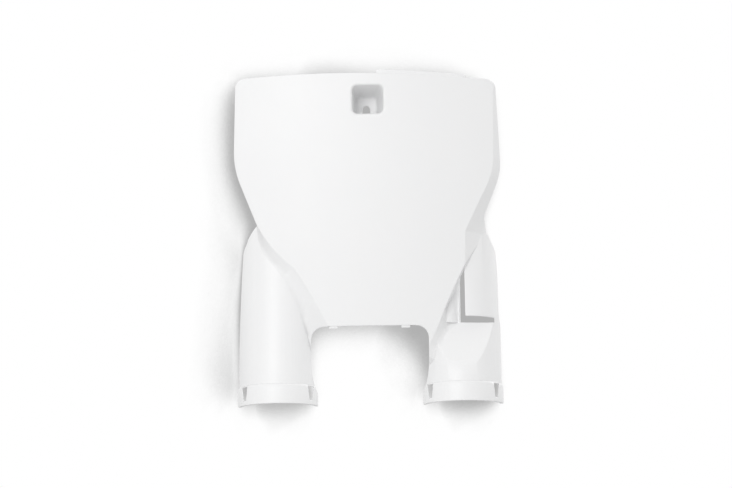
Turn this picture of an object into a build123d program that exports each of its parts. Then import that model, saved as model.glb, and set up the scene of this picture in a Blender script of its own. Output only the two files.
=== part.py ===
from build123d import *
import os
from math import cos, radians, sin, sqrt

os.makedirs("parts", exist_ok=True)

# Racing number board for a motocross fork: one white plastic moulding.
# X runs across the bike, +Y points back to the rider, +Z runs up along the fork tubes.
# The origin is the middle of the screw slot, on the back of the pocket floor.
# Heights on the face are measured along the face, and levels straight out of it.

# Moulding
wall = 2.3

# Face
face_lean = 10.5
face_level = 37.0
face_bow_radius = 600.0
top_left = (-134.0, 34.5)
top_middle = (0.0, 38.4)
top_right = (130.6, 30.5)
right_shoulder = (129.6, -64.0)
right_waist = (99.6, -124.0)
guide_corner = (98.8, -158.0)
guide_fold = (77.2, -203.1)
bottom_right = (54.4, -250.0)
bottom_left = (-27.5, -250.0)
left_fold = (-76.0, -160.0)
left_waist = (-114.3, -115.0)
left_shoulder = (-137.2, -57.0)
top_corner_radius = 10.0
shoulder_radius = 85.0

# Slope of each side wall of the face: how far it runs out for each millimetre that it goes back
plain_slope = 0.03
top_slope = 0.05
right_slope = 1.0
guide_slope = 0.3
guide_fold_slope = 0.15
guide_foot_slope = 2.4
fold_slope = 2.2
foot_slope = 1.7
foot_end_slope = 1.0
side_wall_back_level = 0.0
top_rim_depth = 7.0

# Raised lip on the top edge
lip_start = 10.6
lip_end = 102.0
lip_height = 3.5
lip_setback = 0.6

# Rear edges of the side walls and legs, seen from the side as Y and Z, down to the full half pipes
left_rear_line = (
    (-29.0, 55.0),
    (-16.4, -14.0),
    (0.5, -90.0),
    (10.5, -115.0),
    (25.5, -142.0),
    (34.6, -212.0),
)
right_rear_line = (
    (-33.0, 55.0),
    (-3.5, -64.0),
    (4.5, -111.0),
    (32.5, -148.0),
    (33.8, -212.0),
)
rear_line_radius = 12.0
left_foot_top = -278.0
right_foot_top = -220.0

# Legs on the fork tubes
tube_spacing = 190.0
leg_radius = 40.5
leg_front = 6.0
leg_top = -95.0
leg_bottom = -300.5
heel_radius = 8.0

# Gap between the legs
gap_top = -222.7
gap_half_width = 60.4
gap_corner_radius = 12.4
gap_flare_start = -258.0
gap_flare_middle = (58.6, -274.0)
gap_flare_end = (54.2, -288.0)

# Strap band round the foot of each leg
band_height = 20.5
band_rise = 1.6
band_bevel = 3.0
band_step = 0.4
strap_slot_offset = 33.8
strap_slot_top_width = 5.4
strap_slot_bottom_width = 2.8
strap_slot_drop = 1.5
strap_slot_height = 14.2

# Hose guide on the right leg
guide_depth = 10.0
guide_roll_radius = 14.0
guide_floor_right = 94.0
guide_floor_top = -160.0
guide_top = -150.0
flap_left = 98.0
flap_bottom = -213.5
guide_shelf = -218.5
guide_slit_right = 128.5
ramp_depth = 16.0
ramp_end = -269.0

# Screw pocket
pocket_width = 32.4
pocket_bottom = -2.0
pocket_top = 26.8
pocket_shift = 1.8
pocket_corner_radius = 5.0
pocket_floor = 3.0
pocket_floor_width = 22.0
pocket_floor_bottom = -9.0
pocket_floor_top = 15.0
pocket_floor_radius = 4.0
pocket_rim_radius = 3.0
screw_slot_width = 8.0
screw_slot_length = 12.5

# Lugs under the lower edge of the face
lug_offset = 37.0
lug_width = 9.0
lug_drop = 2.5
lug_setback = 0.5

reach = 400.0
face_plane = Plane(
    origin=(0, 0, 0),
    x_dir=(1, 0, 0),
    z_dir=(0, -cos(radians(face_lean)), -sin(radians(face_lean))),
)
leg_middle = tube_spacing / 2
leg_axis_y = leg_front + leg_radius
band_top = leg_bottom + band_height

# Corners of the face, clockwise from the top left, each with the slopes of the walls before and after it
# and its radius, where it has one
face_corners = (
    (top_left, plain_slope, top_slope, top_corner_radius),
    (top_right, top_slope, right_slope, top_corner_radius),
    (right_shoulder, right_slope, right_slope, shoulder_radius),
    (right_waist, right_slope, right_slope, None),
    (guide_corner, right_slope, guide_slope, None),
    (guide_fold, guide_fold_slope, guide_fold_slope, None),
    (bottom_right, guide_foot_slope, foot_end_slope, None),
    (bottom_left, foot_end_slope, foot_slope, None),
    (left_fold, fold_slope, fold_slope, None),
    (left_waist, plain_slope, plain_slope, None),
    (left_shoulder, plain_slope, plain_slope, shoulder_radius),
)


def bow_level(x):
    """Level of the bowed face at x."""
    return face_level - face_bow_radius + sqrt(face_bow_radius**2 - x**2)


def outward(start, end):
    """Unit vector out of the face, square to the side from start to end."""
    along = Vector(end[0] - start[0], end[1] - start[1])
    return Vector(-along.Y, along.X).normalized()


def moved_corner(index, level, inset):
    """Corner of the face carried down the side walls to a level, with walls set in by inset."""
    corner, slope_before, slope_after, radius = face_corners[index]
    before = face_corners[index - 1][0]
    after = face_corners[(index + 1) % len(face_corners)][0]
    depth = bow_level(corner[0]) - level
    shift_before = slope_before * depth - inset * sqrt(1 + slope_before**2)
    shift_after = slope_after * depth - inset * sqrt(1 + slope_after**2)
    normal_before = outward(before, corner)
    normal_after = outward(corner, after)
    turn = normal_before.X * normal_after.Y - normal_before.Y * normal_after.X
    if abs(turn) < 0.05:
        return Vector(*corner) + normal_before * shift_before
    move_x = (shift_before * normal_after.Y - shift_after * normal_before.Y) / turn
    move_y = (shift_after * normal_before.X - shift_before * normal_after.X) / turn
    return Vector(*corner) + Vector(move_x, move_y)


def face_outline(level, inset):
    """Outline of the face block at one level, with its arched top and round corners."""
    corners = [moved_corner(index, level, inset) for index in range(len(face_corners))]
    top_shift = top_slope * (face_level - level) - inset
    arch = ThreePointArc(corners[0], Vector(*top_middle) + Vector(0, top_shift), corners[1])
    outline = make_face(arch + Polyline(*corners[1:], corners[0]))
    for corner, values in zip(corners, face_corners):
        if values[-1]:
            vertex = outline.vertices().sort_by_distance(corner)[0]
            outline = fillet(vertex, values[-1] - inset)
    return Pos(0, 0, level) * outline


def bow_cylinder(inset):
    """Cylinder that the bowed face, or its back, is a part of."""
    cylinder = Rot(X=90) * Cylinder(face_bow_radius - inset, 2 * reach)
    return Pos(0, 0, face_level - face_bow_radius) * cylinder


def face_block(inset):
    """Face with its side walls, as a solid block in the frame of the face."""
    front = face_outline(face_level + wall, inset)
    back = face_outline(side_wall_back_level - inset, inset)
    return loft([front, back], ruled=True) & bow_cylinder(inset)


def leg_section(radius):
    """Round front and straight sides of a leg, seen along the tube."""
    straight = Pos(0, reach / 4) * Rectangle(2 * radius, reach / 2)
    return Circle(radius) + straight


def leg_block(side, radius, bottom, top):
    """Leg from bottom to top as a solid block."""
    place = Pos(side * leg_middle, leg_axis_y, bottom)
    return place * extrude(leg_section(radius), top - bottom)


def strap_band(side):
    """Raised band round the foot of a leg, as a solid block with a sloping top edge."""
    bevel_bottom = band_top - band_bevel
    wide = Pos(0, 0, bevel_bottom) * leg_section(leg_radius + band_rise)
    narrow = Pos(0, 0, band_top) * leg_section(leg_radius + band_step)
    bevel = Pos(side * leg_middle, leg_axis_y, 0) * loft([wide, narrow], ruled=True)
    return leg_block(side, leg_radius + band_rise, leg_bottom, bevel_bottom) + bevel


def guide_room(grow, right, top):
    """Room in front of the hose guide's floor, which rolls back on its right; grow moves the floor back."""
    floor_y = leg_front + guide_depth + grow
    radius = guide_roll_radius - grow
    roll_x = guide_floor_right - guide_roll_radius
    roll_y = floor_y + radius
    roll = CenterArc((roll_x, roll_y), radius, -90, 90)
    sides = Polyline(
        (roll_x + radius, roll_y),
        (right, roll_y),
        (right, -reach),
        (0, -reach),
        (0, floor_y),
        (roll_x, floor_y),
    )
    return Pos(0, 0, guide_shelf) * extrude(make_face(roll + sides), top - guide_shelf)


def guide_ramp(grow):
    """Room in front of the ramp below the hose guide; grow moves the ramp back and its shelf up."""
    slope = ramp_depth / (guide_shelf - ramp_end)
    top = guide_shelf + grow
    top_y = leg_front + ramp_depth + grow * (slope + sqrt(1 + slope**2))
    bottom = 2 * ramp_end - guide_shelf
    bottom_y = top_y - slope * (top - bottom)
    points = ((-reach, top), (top_y, top), (bottom_y, bottom), (-reach, bottom))
    return extrude(Plane.YZ * make_face(Polyline(*points, close=True)), reach)


def guide_slit():
    """Open strip between the foot of the flap and the shelf of the guide."""
    width = guide_slit_right - guide_floor_right
    height = flap_bottom - guide_shelf
    view = Pos(guide_floor_right + width / 2, guide_shelf + height / 2) * Rectangle(width, height)
    return extrude(Plane.XZ * view, reach, both=True)


def body_outside():
    """Everything inside the outer surface of the moulding."""
    block = face_block(0.0)
    left_leg = leg_block(-1, leg_radius, leg_bottom, leg_top)
    right_leg = leg_block(1, leg_radius, leg_bottom, leg_top)
    right_leg = right_leg - guide_room(0.0, flap_left, guide_top) - guide_ramp(0.0) - guide_slit()
    return face_plane * block + left_leg + right_leg + strap_band(-1) + strap_band(1)


def body_inside():
    """Everything inside the inner surface of the moulding."""
    left_leg = leg_block(-1, leg_radius - wall, leg_bottom - wall, leg_top)
    right_leg = leg_block(1, leg_radius - wall, leg_bottom - wall, leg_top)
    floor_room = guide_room(wall, guide_floor_right, guide_floor_top)
    right_leg = right_leg - floor_room - guide_ramp(wall)
    return face_plane * face_block(wall) + left_leg + right_leg


def kept_side_view(rear_line, foot_top, side):
    """Solid in front of the rear edge and above the foot, on one side of the board."""
    heel = (leg_axis_y, leg_bottom)
    points = rear_line + ((leg_axis_y, foot_top), heel, (-reach, leg_bottom), (-reach, rear_line[0][1]))
    view = make_face(Polyline(*points, close=True))
    for point in rear_line[1:]:
        view = fillet(view.vertices().sort_by_distance(point)[0], rear_line_radius)
    view = fillet(view.vertices().sort_by_distance(heel)[0], heel_radius)
    return extrude(Plane.YZ * view, side * reach)


def leg_gap():
    """Opening between the legs, seen from the front, right through."""
    right_side = Polyline((0, gap_top), (gap_half_width, gap_top), (gap_half_width, gap_flare_start))
    flare = ThreePointArc((gap_half_width, gap_flare_start), gap_flare_middle, gap_flare_end)
    bottom = leg_bottom - wall
    foot = Polyline(gap_flare_end, (gap_flare_end[0], bottom), (0, bottom), (0, gap_top))
    half = make_face(right_side + flare + foot)
    half = fillet(half.vertices().sort_by_distance((gap_half_width, gap_top))[0], gap_corner_radius)
    view = half + mirror(half, Plane.YZ)
    return extrude(Plane.XZ * view, reach, both=True)


def back_clearance():
    """Room behind the face between the legs, whose inner sides are cut away there."""
    width = 2 * leg_middle - leg_radius
    height = -gap_top
    room = Pos(0, -height / 2, side_wall_back_level) * Box(
        width, 1.2 * height, reach, align=(Align.CENTER, Align.CENTER, Align.MAX)
    )
    return face_plane * room


def top_clearance():
    """Room behind the rim along the top edge."""
    slab = Pos(0, reach / 2, 0) * Box(2 * reach, reach, 2 * reach)
    return face_plane * (bow_cylinder(top_rim_depth) & slab)


def top_lip():
    """Low strip that stands on part of the top edge."""
    middle = (lip_start + lip_end) / 2
    level = bow_level(middle)
    raised = Pos(0, lip_height, 0) * face_outline(level, 0.0)
    fall = top_middle[1] - top_right[1]
    strip = Pos(middle, top_middle[1], level) * Rectangle(lip_end - lip_start, 2 * (fall + lip_height))
    view = (raised & strip) - face_outline(level, wall)
    band = bow_cylinder(lip_setback) - bow_cylinder(lip_setback + wall)
    return face_plane * (extrude(view, face_level, both=True) & band)


def pocket_room(grow, front_level, back_y):
    """Tapered room of the screw pocket from the face to its floor; grow adds the wall around it."""
    front_height = pocket_top - pocket_bottom
    front_width = pocket_width + 2 * grow
    front = RectangleRounded(front_width, front_height + 2 * grow, pocket_corner_radius + grow)
    front = face_plane * Pos(pocket_shift, (pocket_top + pocket_bottom) / 2, front_level) * front
    back_height = pocket_floor_top - pocket_floor_bottom
    back_width = pocket_floor_width + 2 * grow
    back = RectangleRounded(back_width, back_height + 2 * grow, pocket_corner_radius + grow)
    back_plane = Plane((0, back_y, (pocket_floor_top + pocket_floor_bottom) / 2), (1, 0, 0), (0, -1, 0))
    room = loft([front, back_plane * back], ruled=True)
    return fillet(room.faces().sort_by(Axis.Y)[-1].edges(), pocket_floor_radius + grow)


def pocket_rim(solid):
    """Edges where the screw pocket opens through the face of a solid."""
    front = solid.faces().filter_by(GeomType.CYLINDER).sort_by(SortBy.AREA)[-1]
    middle = face_plane * Pos(pocket_shift, (pocket_top + pocket_bottom) / 2, face_level)
    return front.inner_wires().sort_by_distance(middle.position)[0].edges()


def screw_slot():
    """Upright slot through the pocket floor."""
    view = SlotOverall(screw_slot_length, screw_slot_width, rotation=90)
    return extrude(Plane.XZ * view, 2 * pocket_floor, both=True)


def strap_slot(middle):
    """Tapered slot through the band, wide end up, cut straight back."""
    half_top = strap_slot_top_width / 2
    half_bottom = strap_slot_bottom_width / 2
    top = band_top - strap_slot_drop
    bottom = top - strap_slot_height
    view = make_face(
        Polyline(
            (middle - half_top, top),
            (middle + half_top, top),
            (middle + half_bottom, bottom),
            (middle - half_bottom, bottom),
            close=True,
        )
    )
    return extrude(Plane.XZ * view, reach, both=True)


def lug(side):
    """Small tab under the lower edge of the face."""
    level = bow_level(lug_offset) - lug_setback
    edge = (gap_top + level * sin(radians(face_lean))) / cos(radians(face_lean))
    block = Box(lug_width, lug_drop + wall, wall, align=(Align.CENTER, Align.MIN, Align.MAX))
    return face_plane * Pos(side * lug_offset, edge - lug_drop, level) * block


shell = body_outside() - body_inside()
left_side = kept_side_view(left_rear_line, left_foot_top, -1)
right_side = kept_side_view(right_rear_line, right_foot_top, 1)
shell = shell & (left_side + right_side)
shell = shell - leg_gap() - back_clearance() - top_clearance()
shell = shell + top_lip() + lug(-1) + lug(1)
shell = shell + pocket_room(wall, face_level - wall / 2, 0.0)
shell = shell - pocket_room(0.0, face_level + wall, -pocket_floor) - screw_slot()
shell = fillet(pocket_rim(shell), pocket_rim_radius)
for side in (-1, 1):
    for offset in (-strap_slot_offset, strap_slot_offset):
        shell = shell - strap_slot(side * leg_middle + offset)

export_step(shell, "parts/number_board.step")
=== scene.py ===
import math

import bmesh
import bpy
from mathutils import Matrix, Vector


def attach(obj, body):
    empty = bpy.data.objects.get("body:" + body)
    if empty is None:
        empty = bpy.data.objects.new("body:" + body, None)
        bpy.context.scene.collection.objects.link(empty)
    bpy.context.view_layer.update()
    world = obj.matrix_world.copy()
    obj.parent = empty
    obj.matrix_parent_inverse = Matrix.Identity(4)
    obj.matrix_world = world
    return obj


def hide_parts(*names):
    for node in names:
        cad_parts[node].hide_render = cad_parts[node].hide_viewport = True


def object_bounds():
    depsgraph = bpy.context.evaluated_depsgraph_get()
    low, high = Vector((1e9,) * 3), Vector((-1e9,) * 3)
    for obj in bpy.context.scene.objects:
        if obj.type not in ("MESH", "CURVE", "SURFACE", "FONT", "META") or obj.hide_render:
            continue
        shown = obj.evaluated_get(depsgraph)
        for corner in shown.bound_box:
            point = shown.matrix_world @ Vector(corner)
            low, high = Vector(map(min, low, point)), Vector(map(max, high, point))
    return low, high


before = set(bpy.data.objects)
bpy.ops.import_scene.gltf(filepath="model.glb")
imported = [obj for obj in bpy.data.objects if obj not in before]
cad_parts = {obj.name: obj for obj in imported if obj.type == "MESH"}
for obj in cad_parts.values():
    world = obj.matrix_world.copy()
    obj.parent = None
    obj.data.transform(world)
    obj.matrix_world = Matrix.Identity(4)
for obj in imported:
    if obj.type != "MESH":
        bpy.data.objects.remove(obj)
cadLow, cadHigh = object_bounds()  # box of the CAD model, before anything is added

print("loaded", sorted(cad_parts))


class Shade:
    # wraps one output socket, so that shader maths reads as plain expressions
    def __init__(self, tree, socket):
        self.tree = tree
        self.socket = socket

    def add(self, nodeType, settings=None, inputs=None, output=0):
        node = self.tree.nodes.new(nodeType)
        for name, value in (settings or {}).items():
            setattr(node, name, value)
        for name, value in (inputs or {}).items():
            target = node.inputs[name]
            if isinstance(value, Shade):
                self.tree.links.new(value.socket, target)
            else:
                target.default_value = value
        return Shade(self.tree, node.outputs[output])

    def maths(self, operation, first, second):
        return self.add("ShaderNodeMath", {"operation": operation}, {0: first, 1: second})

    def __add__(self, other):
        return self.maths("ADD", self, other)

    def __radd__(self, other):
        return self.maths("ADD", other, self)

    def __sub__(self, other):
        return self.maths("SUBTRACT", self, other)

    def __rsub__(self, other):
        return self.maths("SUBTRACT", other, self)

    def __mul__(self, other):
        return self.maths("MULTIPLY", self, other)

    def __rmul__(self, other):
        return self.maths("MULTIPLY", other, self)


def newMaterial(name):
    material = bpy.data.materials.new(name)
    material.use_nodes = True
    return material, material.node_tree


def leaningAxes(degrees):
    # up the leaning face, and straight back through it
    lean = math.radians(degrees)
    return Vector((0, -math.sin(lean), math.cos(lean))), Vector((0, math.cos(lean), math.sin(lean)))


# white moulded plastic: faint clouds in its tone and gloss, and a fine grain
plastic = {
    "colour": (0.885, 0.885, 0.885, 1.0),
    "cloudColour": (0.865, 0.867, 0.872, 1.0),
    "cloudScale": 18.0,
    "cloudDetail": 3.0,
    "cloudMiddle": 0.5,
    "roughness": 0.42,
    "roughnessSpread": 0.10,
    "grainScale": 2600.0,
    "grainDetail": 2.0,
    "grainDepth": 0.00002,
}


def makeNoise(start, place, scale, detail):
    return start.add("ShaderNodeTexNoise", inputs={"Vector": place, "Scale": scale, "Detail": detail})


def makePlastic():
    material, tree = newMaterial("whiteMoulding")
    shader = tree.nodes["Principled BSDF"]
    start = Shade(tree, None)
    place = start.add("ShaderNodeTexCoord", output="Object")
    cloud = makeNoise(start, place, plastic["cloudScale"], plastic["cloudDetail"])
    grain = makeNoise(start, place, plastic["grainScale"], plastic["grainDetail"])
    # a colour mix has its factor at 0, its two colours at 6 and 7, and its result at 2
    colour = start.add(
        "ShaderNodeMix",
        {"data_type": "RGBA"},
        {0: cloud, 6: plastic["colour"], 7: plastic["cloudColour"]},
        output=2,
    )
    roughness = plastic["roughness"] + plastic["roughnessSpread"] * (cloud - plastic["cloudMiddle"])
    bump = start.add("ShaderNodeBump", inputs={"Distance": plastic["grainDepth"], "Height": grain})
    tree.links.new(colour.socket, shader.inputs["Base Color"])
    tree.links.new(roughness.socket, shader.inputs["Roughness"])
    tree.links.new(bump.socket, shader.inputs["Normal"])
    print("plastic made")
    return material


# the moulding: the CAD shape, with its convex edges rounded as a mould leaves them
moulding = {
    "mergeGap": 0.00001,
    "sharpAngle": 28.0,  # degrees that the surface turns at an edge
    "creaseAngle": 18.5,  # the same for a long edge, such as the face's lower left one
    "creaseLength": 0.005,
    "knifeAngle": 125.0,  # past this an edge is too thin to round
    "edgeRadius": 0.0007,
    "edgeSegments": 2,
    "smoothAngle": 32.0,
    "faceLean": 10.5,
    "faceFront": 0.037,  # the middle of the face, ahead of the screw seat
    "bowRadius": 0.600,
    "bowSlack": 0.00008,
    "bowFacing": 0.9,  # how nearly a face on the bow has to point along its spoke
    "wall": 0.0023,
}


def isSharp(edge):
    angle = math.degrees(edge.calc_face_angle(0.0))
    if not edge.is_convex or angle > moulding["knifeAngle"]:
        return False
    crease = angle > moulding["creaseAngle"] and edge.calc_length() > moulding["creaseLength"]
    return crease or angle > moulding["sharpAngle"]


def bowNormals(points):
    # true normals for points on the front or the back of the bowed face, None for any others
    up, back = leaningAxes(moulding["faceLean"])
    centre = back * (moulding["bowRadius"] - moulding["faceFront"])
    spokes = [point - centre - up * (point - centre).dot(up) for point in points]
    front = moulding["bowRadius"]
    rear = front - moulding["wall"]
    for radius, side in ((front, 1.0), (rear, -1.0)):
        if all(abs(spoke.length - radius) < moulding["bowSlack"] for spoke in spokes):
            return [spoke.normalized() * side for spoke in spokes]
    return None


def settleNormals(piece):
    # wide faces stay flat beside their round edges, and the bowed face shades as one smooth sheet
    weighted = piece.modifiers.new("flatFaces", "WEIGHTED_NORMAL")
    weighted.mode = "FACE_AREA_WITH_ANGLE"
    weighted.keep_sharp = True
    solved = piece.evaluated_get(bpy.context.evaluated_depsgraph_get())
    mesh = bpy.data.meshes.new_from_object(solved)
    normals = [Vector(corner.vector) for corner in mesh.corner_normals]
    count = 0
    for face in mesh.polygons:
        bowed = bowNormals([mesh.vertices[index].co for index in face.vertices])
        if bowed and bowed[0].dot(face.normal) > moulding["bowFacing"]:
            count += 1
            for corner, normal in zip(face.loop_indices, bowed):
                normals[corner] = normal
    mesh.normals_split_custom_set(normals)
    piece.modifiers.clear()
    piece.data = mesh
    print("normals settled,", count, "faces on the bow")


def makeMoulding(cad, material):
    shape = bmesh.new()
    shape.from_mesh(cad.data)
    bmesh.ops.remove_doubles(shape, verts=shape.verts, dist=moulding["mergeGap"])
    sharp = [edge for edge in shape.edges if isSharp(edge)]
    bmesh.ops.bevel(
        shape,
        geom=sharp,
        affect="EDGES",
        offset_type="OFFSET",
        offset=moulding["edgeRadius"],
        segments=moulding["edgeSegments"],
        profile=0.5,
        material=-1,
        clamp_overlap=False,
    )
    mesh = bpy.data.meshes.new("moulding")
    shape.to_mesh(mesh)
    shape.free()
    mesh.shade_smooth()
    mesh.set_sharp_from_angle(angle=math.radians(moulding["smoothAngle"]))
    mesh.materials.clear()
    mesh.materials.append(material)
    piece = bpy.data.objects.new("moulding", mesh)
    bpy.context.scene.collection.objects.link(piece)
    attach(piece, "root")
    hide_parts("number_board")
    settleNormals(piece)
    print("moulding made,", len(sharp), "edges rounded,", len(piece.data.polygons), "faces")


makeMoulding(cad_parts["number_board"], makePlastic())

# camera square to the face, as the photo was taken: sizes in metres and degrees
shot = {
    "lean": 10.5,
    "roll": 0.9,
    "target": (-0.0024, -0.1363, -0.013),  # across, up the face and back through it
    "distance": 2.6,
    "pixel": 0.00103,  # what one pixel takes in at the target
    "imageWidth": 732,
    "sensorWidth": 36.0,  # in millimetres, as the lens is
    "clipStart": 0.1,
    "clipEnd": 50.0,
}


def makeCamera():
    roll = math.radians(shot["roll"])
    across = Vector((1, 0, 0))
    up, ahead = leaningAxes(shot["lean"])
    right = across * math.cos(roll) - up * math.sin(roll)
    top = across * math.sin(roll) + up * math.cos(roll)
    spot = across * shot["target"][0] + up * shot["target"][1] + ahead * shot["target"][2]
    data = bpy.data.cameras.new("camera")
    data.sensor_width = shot["sensorWidth"]
    data.lens = shot["distance"] / (shot["pixel"] * shot["imageWidth"]) * shot["sensorWidth"]
    data.clip_start = shot["clipStart"]
    data.clip_end = shot["clipEnd"]
    camera = bpy.data.objects.new("camera", data)
    bpy.context.scene.collection.objects.link(camera)
    turn = Matrix((right, top, -ahead)).transposed().to_4x4()
    camera.matrix_world = Matrix.Translation(spot - ahead * shot["distance"]) @ turn
    bpy.context.scene.camera = camera
    print("camera made, lens", round(data.lens, 1))


makeCamera()

# pale floor, and a glowing white card just behind the board, with the board's soft shade painted into
# the card's colour
stage = {
    "floorHeight": -0.85,
    "floorSize": 30.0,
    "floorColour": (0.68, 0.68, 0.68, 1.0),
    "floorRoughness": 0.9,
    "cardGap": 0.002,  # from the back of the screw pocket
    "cardSize": 3.0,
    "shadeReach": 0.064,  # how far from the card the board still darkens the painted shade
    "shadeSide": (0.62, -0.78, 0.10),  # the side that the painted shade treats as the light's, which the board keeps off the card
    "shadeSamples": 16,
    "shadeStart": 0.13,  # share of the open room around the card that is lost before the painted shade shows
    "shadeGain": 2.4,
    "shadeFloor": 0.44,  # the darkest that the painted shade gets
}


def makeSheet(name, size, matrix, material):
    shape = bmesh.new()
    bmesh.ops.create_grid(shape, x_segments=1, y_segments=1, size=size / 2, matrix=matrix)
    mesh = bpy.data.meshes.new(name)
    shape.to_mesh(mesh)
    shape.free()
    mesh.materials.append(material)
    sheet = bpy.data.objects.new(name, mesh)
    bpy.context.scene.collection.objects.link(sheet)
    return sheet


def makeFloor():
    material, tree = newMaterial("paleFloor")
    shader = tree.nodes["Principled BSDF"]
    shader.inputs["Base Color"].default_value = stage["floorColour"]
    shader.inputs["Roughness"].default_value = stage["floorRoughness"]
    makeSheet("floor", stage["floorSize"], Matrix.Translation((0, 0, stage["floorHeight"])), material)


def makeCardWithPaintedShade():
    # white glowing paper from before, darkened near the board as painted shade, and clear from behind,
    # so that the back of the board can be seen
    material, tree = newMaterial("cardWithPaintedShade")
    start = Shade(tree, None)
    behind = start.add("ShaderNodeNewGeometry", output="Backfacing")
    sideX, sideY, sideZ = Vector(stage["shadeSide"]).normalized()
    side = start.add("ShaderNodeCombineXYZ", inputs={"X": sideX, "Y": sideY, "Z": sideZ})
    openness = start.add(
        "ShaderNodeAmbientOcclusion",
        {"samples": stage["shadeSamples"]},
        {"Distance": stage["shadeReach"], "Normal": side},
        output="AO",
    )
    # painted shade: the card's glow darkens where the board hides the open room around it
    paintedShade = 1.0 - stage["shadeGain"] * (1.0 - stage["shadeStart"] - openness)
    # white here holds the painted shade tone, kept between shadeFloor and plain white
    white = start.add("ShaderNodeClamp", inputs={"Value": paintedShade, "Min": stage["shadeFloor"], "Max": 1.0})
    paintedShadeColour = start.add("ShaderNodeCombineColor", inputs={"Red": white, "Green": white, "Blue": white})
    glowWithPaintedShade = start.add("ShaderNodeEmission", inputs={"Color": paintedShadeColour})
    clear = start.add("ShaderNodeBsdfTransparent")
    oneSided = start.add("ShaderNodeMixShader", inputs={0: behind, 1: glowWithPaintedShade, 2: clear})
    tree.links.new(oneSided.socket, tree.nodes["Material Output"].inputs["Surface"])
    return material


def makeCard():
    upright = Matrix.Rotation(math.radians(90 + shot["lean"]), 4, "X")
    place = upright @ Matrix.Translation((0, 0, -stage["cardGap"]))
    card = makeSheet("card", stage["cardSize"], place, makeCardWithPaintedShade())
    # only the camera sees the card, so it neither lights nor shades the board
    card.visible_diffuse = False
    card.visible_glossy = False
    card.visible_transmission = False
    card.visible_shadow = False


makeFloor()
makeCard()
print("stage made")

# soft studio light: an even pale room, one large lamp before the board and one behind it
studio = {
    "ambient": 0.78,
    "lampSize": 0.9,
    "lamps": {
        "frontLamp": {"power": 9.3, "place": (-0.50, -1.62, 0.06)},
        "backLamp": {"power": 8.0, "place": (1.32, 0.85, 0.65)},
    },
}


def makeWorld():
    # the camera, gloss and glass see plain white, and the board is lit by a little less
    world = bpy.data.worlds.new("studio")
    world.use_nodes = True
    tree = world.node_tree
    tree.nodes.clear()
    start = Shade(tree, None)
    seen = start.add("ShaderNodeLightPath", output="Is Camera Ray")
    glossy = start.add("ShaderNodeLightPath", output="Is Glossy Ray")
    through = start.add("ShaderNodeLightPath", output="Is Transmission Ray")
    white = start.maths("MAXIMUM", seen, start.maths("MAXIMUM", glossy, through))
    strength = studio["ambient"] + (1.0 - studio["ambient"]) * white
    background = start.add("ShaderNodeBackground", inputs={"Color": (1, 1, 1, 1), "Strength": strength})
    output = tree.nodes.new("ShaderNodeOutputWorld")
    tree.links.new(background.socket, output.inputs["Surface"])
    bpy.context.scene.world = world


def makeLamp(name, settings):
    data = bpy.data.lights.new(name, "AREA")
    data.shape = "DISK"
    data.size = studio["lampSize"]
    data.energy = settings["power"]
    lamp = bpy.data.objects.new(name, data)
    lamp.location = settings["place"]
    aim = (cadLow + cadHigh) / 2 - lamp.location
    lamp.rotation_euler = aim.to_track_quat("-Z", "Y").to_euler()
    bpy.context.scene.collection.objects.link(lamp)


makeWorld()
for lampName, lampSettings in studio["lamps"].items():
    makeLamp(lampName, lampSettings)
print("light made")

bpy.context.scene.view_settings.view_transform = "Standard"
